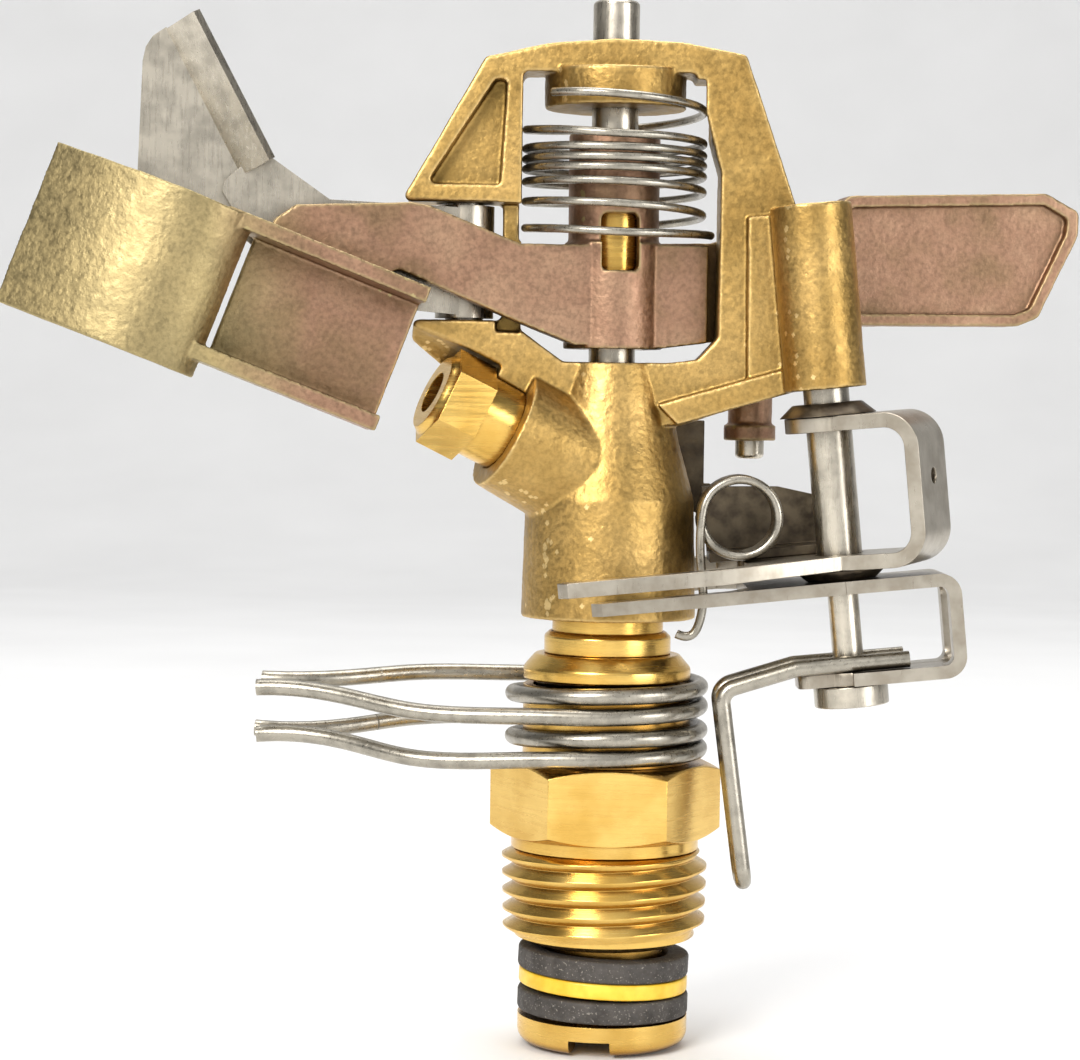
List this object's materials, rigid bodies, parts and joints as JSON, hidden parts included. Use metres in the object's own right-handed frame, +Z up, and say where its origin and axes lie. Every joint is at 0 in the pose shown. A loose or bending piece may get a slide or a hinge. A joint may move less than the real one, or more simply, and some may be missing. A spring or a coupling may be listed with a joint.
{
  "type": "impact sprinkler",
  "caption": "Brass part-circle impact sprinkler: threaded inlet with rotating bearing tube, angled nozzle, spring-returned jet arm, deflector flap and trip mechanism.",
  "frame": {"origin": "on the riser axis, where the inlet thread begins below the hexagon", "axes": "+Z up the riser axis, +X towards the counterweight and trip side, -Y towards the front"},
  "size_m": [0.11, 0.0345, 0.1068],
  "materials": {
    "cast_brass": "as cast",
    "arm_bronze": "tarnished, as cast",
    "machined_brass": "machined",
    "stainless": "brushed",
    "spring_steel": "drawn wire",
    "trip_plate": "sheared sheet",
    "dark_washer": "oxidised",
    "rubber": "matt",
    "wear_plastic": "satin"
  },
  "bodies": {
    "base": {"inlet_nipple": "machined_brass", "bearing_spring": "spring_steel", "upper_seal_washer": "rubber", "wear_washer": "wear_plastic", "lower_seal_washer": "rubber"},
    "head": {"bearing_tube": "machined_brass", "dust_collar": "machined_brass", "retaining_ring": "machined_brass", "body_casting": "cast_brass", "nozzle": "machined_brass", "fulcrum_pin": "stainless", "deflector_pin": "stainless", "trip_shaft": "stainless", "upper_friction_washer": "dark_washer", "lower_friction_washer": "dark_washer"},
    "arm": {"impact_arm": "arm_bronze", "arm_bush": "machined_brass", "lug_tip": "stainless", "arm_spring": "spring_steel"},
    "deflector": {"deflector": "stainless"},
    "bracket": {"trip_bracket": "trip_plate", "reversing_dog": "dark_washer", "dog_rivet": "trip_plate", "trip_spring": "spring_steel"},
    "lever": {"trip_lever": "trip_plate", "trip_rod": "spring_steel"},
    "upper_clip": {"collar_upper": "spring_steel"},
    "lower_clip": {"collar_lower": "spring_steel"}
  },
  "joints": [
    {"name": "head_turn", "type": "hinge", "parent": "base", "child": "head", "pos_m": [0, 0, 0], "axis": [0, 0, 1], "range_deg": [-85, 105]},
    {"name": "arm_swing", "type": "hinge", "parent": "head", "child": "arm", "pos_m": [0, 0, 0.06], "axis": [0, 0, 1], "range_deg": [0, 95], "stiffness_Nm_per_rad": 0.012, "springref_deg": -20.05, "deforming": ["arm_spring"]},
    {"name": "deflector_swing", "type": "hinge", "parent": "head", "child": "deflector", "pos_m": [-0.0152, 0.0001, 0.06], "axis": [0, 0, 1], "range_deg": [-40, 0]},
    {"name": "trip_lever_flip", "type": "hinge", "parent": "head", "child": "lever", "pos_m": [0.02347, -0.0064, 0.027], "axis": [-0.1011, 0, 0.9949], "range_deg": [0, 12]},
    {"name": "trip_bracket_flip", "type": "hinge", "parent": "head", "child": "bracket", "pos_m": [0.02347, -0.0064, 0.027], "axis": [-0.1011, 0, 0.9949], "range_deg": [-12, 0]},
    {"name": "collar_upper_turn", "type": "hinge", "parent": "base", "child": "upper_clip", "pos_m": [0, 0, 0.015], "axis": [0, 0, 1], "range_deg": [-105, 85]},
    {"name": "collar_lower_turn", "type": "hinge", "parent": "base", "child": "lower_clip", "pos_m": [0, 0, 0.011], "axis": [0, 0, 1], "range_deg": [-105, 85]}
  ],
  "couplings": [
    {"joint": "trip_bracket_flip", "follows": "trip_lever_flip", "ratio": -1}
  ]
}
